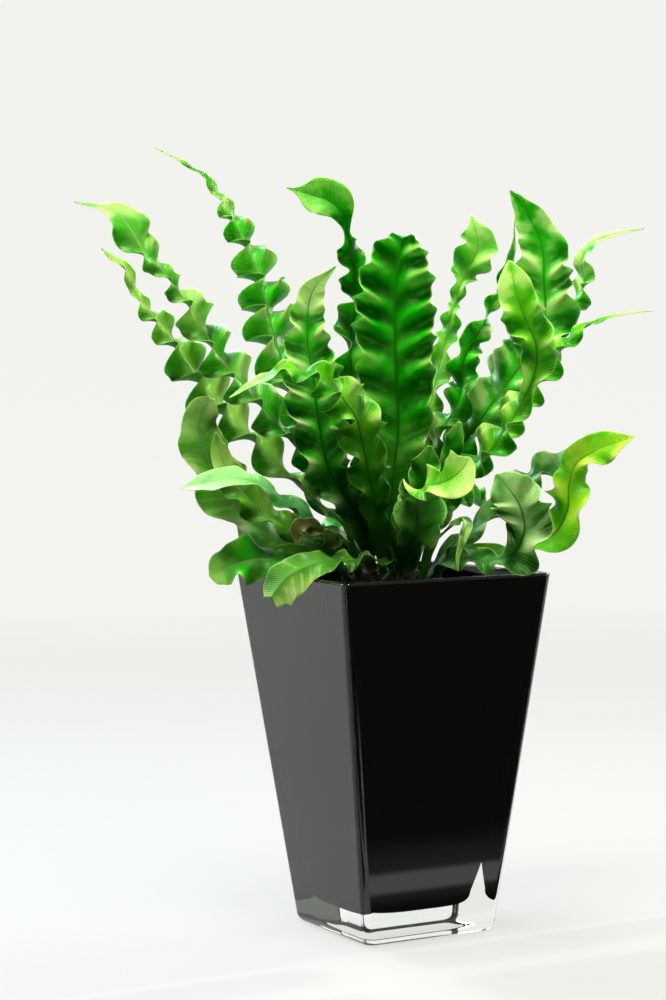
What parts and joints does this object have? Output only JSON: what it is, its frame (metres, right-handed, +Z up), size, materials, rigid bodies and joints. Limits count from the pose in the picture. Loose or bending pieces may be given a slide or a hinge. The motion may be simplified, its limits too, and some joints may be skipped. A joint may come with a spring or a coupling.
{
  "type": "potted crispy wave fern",
  "caption": "Fern with a rosette of long crisped fronds, growing from one crown in a tapered square vase of clear glass over black glass.",
  "frame": {"origin": "centre of the vase's foot, on the surface it stands on", "axes": "+Z up; X and Y square to the vase's faces; the pictured side looks along the bearing 30 degrees east of -Y"},
  "size_m": [0.326, 0.2562, 0.4496],
  "materials": {
    "crown": "matte",
    "frond_back_left_low": "satin",
    "frond_back_left_tall": "satin",
    "frond_back_middle_low": "satin",
    "frond_back_right_low": "satin",
    "frond_back_upright": "satin",
    "frond_centre_upright": "satin",
    "frond_dried": "matte",
    "frond_front_arched": "satin",
    "frond_front_drooping": "satin",
    "frond_front_left_low": "satin",
    "frond_front_right_curl": "satin",
    "frond_front_right_low": "satin",
    "frond_front_strap": "satin",
    "frond_left_broad": "satin",
    "frond_left_corkscrew": "satin",
    "frond_left_glossy": "satin",
    "frond_left_lower_corkscrew": "satin",
    "frond_left_small": "satin",
    "frond_left_upright": "satin",
    "frond_middle_front": "satin",
    "frond_middle_right": "satin",
    "frond_right_back_curly": "satin",
    "frond_right_back_dull": "satin",
    "frond_right_back_leafy": "satin",
    "frond_right_broad_tall": "satin",
    "frond_right_curling": "satin",
    "frond_right_low_yellow": "satin",
    "frond_right_pointing": "satin",
    "frond_right_slender": "satin",
    "frond_tall_curled": "satin",
    "growing_mix": "matte",
    "vase_glass": "polished",
    "vase_lining": "polished"
  },
  "bodies": {
    "root": {"crown": "crown", "frond_back_left_low": "frond_back_left_low", "frond_back_left_tall": "frond_back_left_tall", "frond_back_middle_low": "frond_back_middle_low", "frond_back_right_low": "frond_back_right_low", "frond_back_upright": "frond_back_upright", "frond_centre_upright": "frond_centre_upright", "frond_dried": "frond_dried", "frond_front_arched": "frond_front_arched", "frond_front_drooping": "frond_front_drooping", "frond_front_left_low": "frond_front_left_low", "frond_front_right_curl": "frond_front_right_curl", "frond_front_right_low": "frond_front_right_low", "frond_front_strap": "frond_front_strap", "frond_left_broad": "frond_left_broad", "frond_left_corkscrew": "frond_left_corkscrew", "frond_left_glossy": "frond_left_glossy", "frond_left_lower_corkscrew": "frond_left_lower_corkscrew", "frond_left_small": "frond_left_small", "frond_left_upright": "frond_left_upright", "frond_middle_front": "frond_middle_front", "frond_middle_right": "frond_middle_right", "frond_right_back_curly": "frond_right_back_curly", "frond_right_back_dull": "frond_right_back_dull", "frond_right_back_leafy": "frond_right_back_leafy", "frond_right_broad_tall": "frond_right_broad_tall", "frond_right_curling": "frond_right_curling", "frond_right_low_yellow": "frond_right_low_yellow", "frond_right_pointing": "frond_right_pointing", "frond_right_slender": "frond_right_slender", "frond_tall_curled": "frond_tall_curled", "growing_mix": "growing_mix", "vase_glass": "vase_glass", "vase_lining": "vase_lining"}
  },
  "joints": []
}
